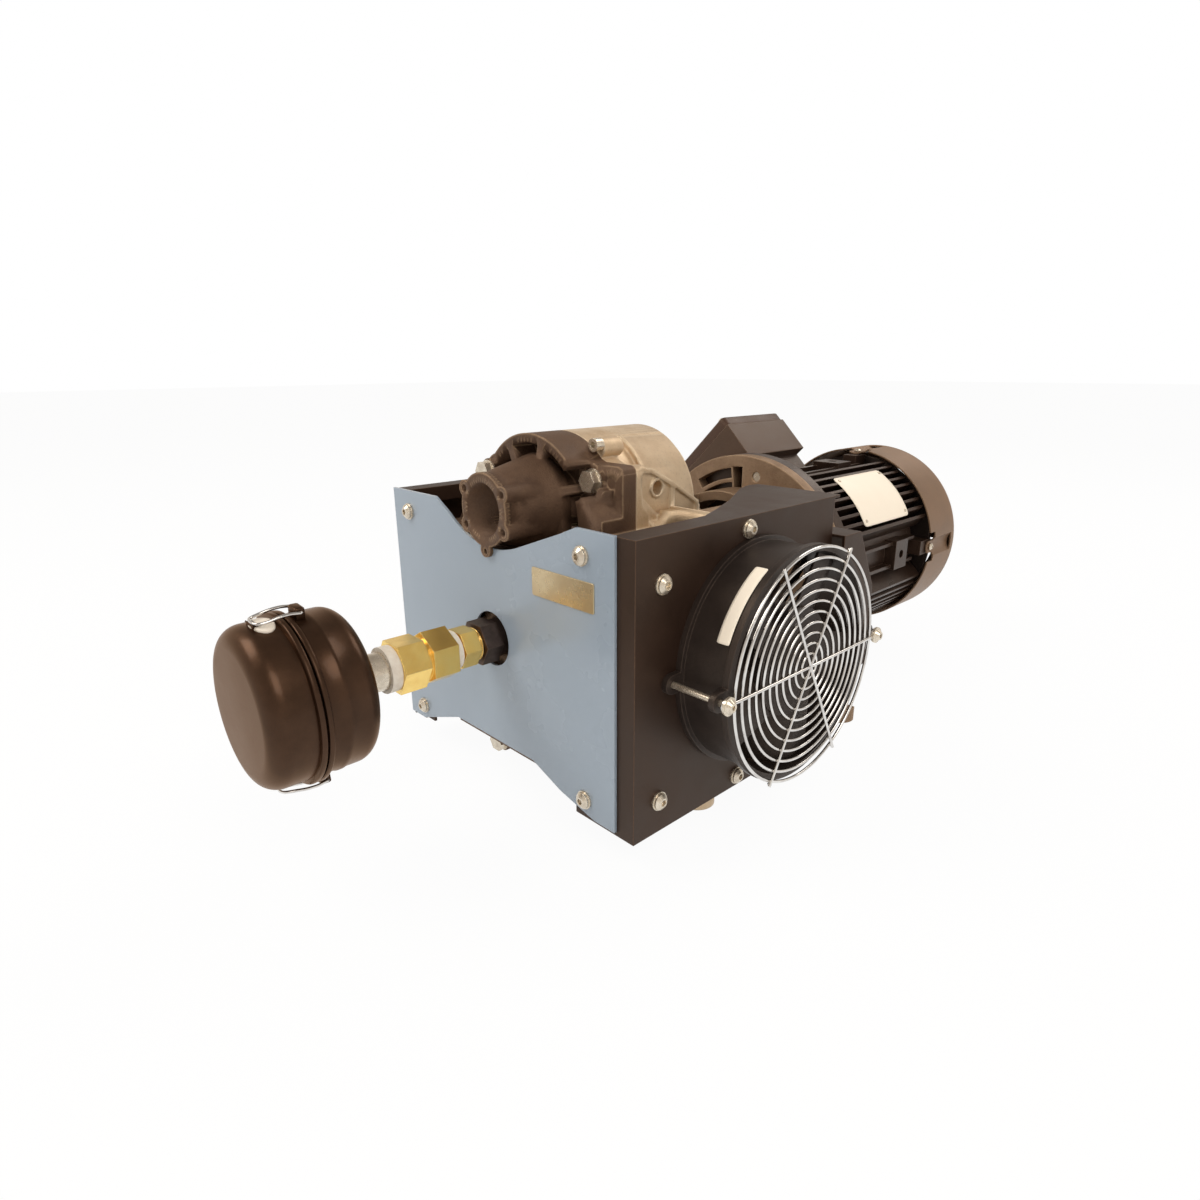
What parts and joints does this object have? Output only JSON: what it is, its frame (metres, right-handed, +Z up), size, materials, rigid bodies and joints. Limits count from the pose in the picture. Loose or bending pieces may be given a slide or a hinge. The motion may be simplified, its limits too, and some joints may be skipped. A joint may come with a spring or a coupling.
{
  "type": "scroll vacuum pump",
  "caption": "Air-cooled dry scroll vacuum pump with a front panel, a side cooling fan, a flanged electric motor, an inlet flange and an exhaust line with check valve and filter silencer.",
  "frame": {"origin": "on the floor at the centre of the four foot holes", "axes": "+Z up, +Y along the shaft from the front panel to the motor, +X to the cooling fan"},
  "size_m": [0.3089, 0.695, 0.249],
  "materials": {
    "blue_paint": "satin paint",
    "black_sheet": "fine satin powder coat",
    "zinc": "bright zinc plate",
    "dark_casting": "dark anodised sand casting",
    "bright_casting": "blasted sand casting",
    "brown_casting": "blasted sand casting",
    "steel": "ground steel",
    "weight_iron": "machined iron",
    "white_seal": "smooth white",
    "black_rubber": "matt rubber",
    "red_rubber": "matt rubber",
    "black_plastic": "fine grain",
    "chrome_wire": "bright chrome",
    "black_motor": "gloss paint",
    "brown_cowl": "satin paint",
    "core_steel": "stacked sheet",
    "copper": "varnished winding",
    "yellow_brass": "machined brass",
    "black_can": "satin paint",
    "filter_felt": "pleated felt",
    "brown_resin": "moulded resin"
  },
  "bodies": {
    "pump": {"front_panel": "blue_paint", "cooling_shroud": "black_sheet", "air_guide": "black_sheet", "outlet_sheet": "black_sheet", "sheet_screws": "zinc", "shroud_spacers": "zinc", "fan_housing": "black_plastic", "fan_guard": "chrome_wire", "guard_screws": "zinc", "fixed_scroll": "dark_casting", "fixed_tip_seal": "white_seal", "case_seal": "black_rubber", "case_bolts": "zinc", "center_housing": "bright_casting", "main_bearings": "steel", "bearing_cap": "steel", "shaft_seal": "black_rubber", "crank_bearings": "steel", "motor_adapter": "brown_casting", "adapter_bolts": "zinc", "motor_flange": "black_motor", "flange_bolts": "zinc", "motor_frame": "black_motor", "stator_core": "core_steel", "stator_winding": "copper", "motor_bearings": "steel", "rear_shield": "black_motor", "fan_cowl": "brown_cowl", "terminal_box": "brown_cowl", "terminal_lid": "brown_cowl", "motor_screws": "zinc", "terminal_block": "brown_resin", "cable_gland": "black_plastic", "outlet_bushing": "black_motor", "brass_adapter": "yellow_brass", "valve_body": "yellow_brass", "valve_inside": "white_seal", "valve_spring": "steel", "pipe_nipple": "zinc", "canister_base": "black_can", "canister_cap": "black_can", "filter_element": "filter_felt"},
    "drive": {"crankshaft": "steel", "counterweight": "weight_iron", "pump_hub": "bright_casting", "coupling_spider": "red_rubber", "motor_hub": "bright_casting", "motor_rotor": "core_steel", "motor_fan": "black_plastic"},
    "moving_scroll": {"orbiting_scroll": "bright_casting", "orbiting_tip_seal": "white_seal", "scroll_bearings": "steel"},
    "crank_top": {"crank_top": "steel"},
    "crank_left": {"crank_left": "steel"},
    "crank_right": {"crank_right": "steel"},
    "fan": {"fan_impeller": "black_plastic"},
    "poppet": {"valve_poppet": "yellow_brass"},
    "clip_left": {"clip_left": "zinc"},
    "clip_low": {"clip_low": "zinc"}
  },
  "joints": [
    {"name": "drive_spin", "type": "hinge", "parent": "pump", "child": "drive", "pos_m": [0, 0, 0.115], "axis": [0, 1, 0], "continuous": true},
    {"name": "scroll_orbit", "type": "hinge", "parent": "drive", "child": "moving_scroll", "pos_m": [0.005, -0.09, 0.115], "axis": [0, 1, 0], "continuous": true},
    {"name": "crank_top_spin", "type": "hinge", "parent": "pump", "child": "crank_top", "pos_m": [0, -0.075, 0.207], "axis": [0, 1, 0], "continuous": true},
    {"name": "crank_left_spin", "type": "hinge", "parent": "pump", "child": "crank_left", "pos_m": [-0.06505, -0.075, 0.04995], "axis": [0, 1, 0], "continuous": true},
    {"name": "crank_right_spin", "type": "hinge", "parent": "pump", "child": "crank_right", "pos_m": [0.06505, -0.075, 0.04995], "axis": [0, 1, 0], "continuous": true},
    {"name": "fan_spin", "type": "hinge", "parent": "pump", "child": "fan", "pos_m": [0.15, -0.074, 0.115], "axis": [1, 0, 0], "continuous": true},
    {"name": "valve_lift", "type": "slide", "parent": "pump", "child": "poppet", "axis": [0, -1, 0], "range_m": [0, 0.003], "stiffness_N_per_m": 300, "deforming": ["valve_spring"]},
    {"name": "clip_left_turn", "type": "hinge", "parent": "pump", "child": "clip_left", "pos_m": [0.00356, -0.3135, 0.16588], "axis": [-0.9976, 0, 0.0698], "range_deg": [0, 95]},
    {"name": "clip_low_turn", "type": "hinge", "parent": "pump", "child": "clip_low", "pos_m": [0.0106, -0.3135, 0.06511], "axis": [0.9781, 0, 0.2079], "range_deg": [0, 95]}
  ],
  "couplings": [
    {"joint": "scroll_orbit", "follows": "drive_spin", "ratio": -1},
    {"joint": "crank_top_spin", "follows": "drive_spin", "ratio": 1},
    {"joint": "crank_left_spin", "follows": "drive_spin", "ratio": 1},
    {"joint": "crank_right_spin", "follows": "drive_spin", "ratio": 1}
  ]
}
